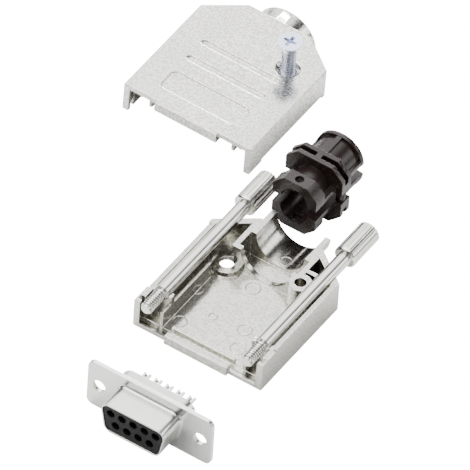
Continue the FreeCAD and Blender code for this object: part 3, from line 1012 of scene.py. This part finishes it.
@dataclass
class Studio:
    """The bench, the light and the camera, with lengths in metres and angles in degrees.

    The hood's front edge is in millimetres and its place in the picture in pixels.
    """

    azimuth: float = 31.0
    elevation: float = 46.3
    roll: float = 3.9
    pixels_per_mm: float = 4.846
    picture: float = 470.0
    lens: float = 1200.0
    sensor: float = 36.0
    view_reach: float = 20.0
    hood_front: Place = (0.0, -17.5, 0.0)
    hood_front_pixel: tuple[float, float] = (196.6, 358.0)
    bench_size: float = 6.0
    bench_colour: Colour = (0.9, 0.9, 0.89)
    bench_roughness: float = 0.9
    bench_specular: float = 0.1
    bench_glow: float = 16.0
    horizon: float = 0.02
    horizon_height: float = 0.15
    ceiling: float = 0.15
    ceiling_height: float = 0.6
    soft_boxes: tuple[SoftBox, ...] = (
        SoftBox((-0.25, 0.1, 0.96), inner=5.0, outer=50.0, power=6.2),
        SoftBox((-0.36, -0.7, 0.6), inner=5.0, outer=20.0, power=2.6),
        SoftBox((-0.75, 0.55, 0.4), inner=6.0, outer=22.0, power=3.0),
        SoftBox((0.71, 0.55, 0.38), inner=5.0, outer=18.0, power=4.5),
        SoftBox((-0.36, 0.88, 0.3), inner=9.0, outer=16.0, power=48.0))
    lamps: tuple[Lamp, ...] = (
        Lamp("key", (-0.5, -0.2, 0.9), size=0.7, power=2.5),
        Lamp("fill", (0.8, -0.5, 0.5), size=0.5, power=0.8))

    def build(self) -> None:
        """Make everything that isn't the object."""
        self.make_floor()
        self.make_world()
        for lamp in self.lamps:
            lamp.hang()
        self.make_camera()

    def make_floor(self) -> None:
        bpy.ops.object.select_all(action="DESELECT")
        bpy.ops.mesh.primitive_plane_add(size=self.bench_size, location=(0.0, 0.0, 0.0))
        floor = bpy.context.object
        floor.name = "bench"
        material = bpy.data.materials.new("bench_white")
        material.use_nodes = True
        graph = NodeGraph(material.node_tree)
        shader = set_inputs(graph.add("BsdfPrincipled"), {
            "Base Color": (*self.bench_colour, 1.0), "Roughness": self.bench_roughness,
            "Specular IOR Level": self.bench_specular, "Emission Color": (1.0, 1.0, 1.0, 1.0)})
        path = graph.add("LightPath")
        glow = graph.add("Math", operation="MULTIPLY")
        glow.inputs[1].default_value = self.bench_glow
        graph.join(path.outputs["Is Camera Ray"], glow, 0)
        graph.join(glow.outputs[0], shader, "Emission Strength")
        output = graph.add("OutputMaterial")
        graph.join(shader.outputs["BSDF"], output, "Surface")
        floor.data.materials.append(material)

    def make_world(self) -> None:
        world = bpy.data.worlds.new("studio")
        bpy.context.scene.world = world
        world.use_nodes = True
        graph = NodeGraph(world.node_tree)
        place = graph.add("TexCoord")
        split = graph.add("SeparateXYZ")
        graph.join(place.outputs["Generated"], split, "Vector")
        room = set_inputs(graph.add("MapRange"), {
            "From Min": self.horizon_height, "From Max": self.ceiling_height,
            "To Min": self.horizon, "To Max": self.ceiling})
        graph.join(split.outputs["Z"], room, "Value")
        total = room.outputs["Result"]
        for box in self.soft_boxes:
            total = box.add_to(graph, place.outputs["Generated"], total)
        background = graph.add("Background")
        graph.join(total, background, "Strength")
        output = graph.add("OutputWorld")
        graph.join(background.outputs["Background"], output, "Surface")

    def make_camera(self) -> None:
        """Put a very long lens where the hood's front edge falls on its place in the picture."""
        turn, rise = math.radians(self.azimuth), math.radians(self.elevation)
        back = Vector((math.sin(turn) * math.cos(rise), -math.cos(turn) * math.cos(rise),
                       math.sin(rise)))
        basis = (-back).to_track_quat("-Z", "Y").to_matrix()
        basis = basis @ Matrix.Rotation(math.radians(self.roll), 3, "Z")
        right, up = basis.col[0], basis.col[1]
        column, row = self.hood_front_pixel
        aside = (self.picture / 2 - column) / self.pixels_per_mm
        above = (row - self.picture / 2) / self.pixels_per_mm
        target = (Vector(self.hood_front) + right * aside + up * above) * MM
        distance = self.lens / self.sensor * self.picture / self.pixels_per_mm * MM
        camera_data = bpy.data.cameras.new("camera")
        camera_data.lens = self.lens
        camera_data.sensor_width = self.sensor
        camera_data.clip_end = self.view_reach
        camera = bpy.data.objects.new("camera", camera_data)
        camera.matrix_world = Matrix.Translation(target + back * distance) @ basis.to_4x4()
        bpy.context.scene.collection.objects.link(camera)
        bpy.context.scene.camera = camera


EJECTOR_MARKS = (
    EjectorMark(-10.6, -2.1, 1.7), EjectorMark(-3.2, -6.7, 0.9), EjectorMark(4.2, -5.9, 1.5),
    EjectorMark(-1.0, 4.9, 1.6), EjectorMark(6.0, -11.1, 1.6), EjectorMark(-8.0, -11.9, 1.5),
    EjectorMark(0.4, 15.0, 1.3, up=1.52))


def kit_pieces() -> list[KitPiece]:
    """Returns:
        The pieces, in the order in which they are built.
    """
    pieces: list[KitPiece] = [
        CastHalf("lower_half", SMOOTH_CAST_NICKEL, outer_face=OuterFace.DOWN),
        CastHalf("upper_half", CAST_NICKEL, outer_face=OuterFace.UP),
        CoverScrew("cover_screw", BLUE_ZINC),
        ThreadedScrew("jack_screw_left", BRIGHT_NICKEL),
        ThreadedScrew("jack_screw_right", BRIGHT_NICKEL),
        ClampHalf("clamp_lower", CLAMP_PLASTIC), ClampHalf("clamp_upper", CLAMP_PLASTIC),
        DrawnShell("front_shell", TIN_PLATE, box_side=BoxSide.FRONT),
        DrawnShell("rear_shell", TIN_PLATE, box_side=BoxSide.REAR),
        Insulator("socket_block", SOCKET_PLASTIC),
        Insulator("rear_insulator", SOCKET_PLASTIC)]
    return pieces + [Contact(f"contact_{number}", CONTACT_TIN) for number in CONTACT_NUMBERS]


def main() -> None:
    """Build the scene."""
    logging.basicConfig(level=logging.INFO)
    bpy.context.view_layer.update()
    Studio().build()
    for piece in kit_pieces():
        piece.build()
    for number, mark in enumerate(EJECTOR_MARKS, 1):
        mark.build(number)


if __name__ == "__main__":
    main()
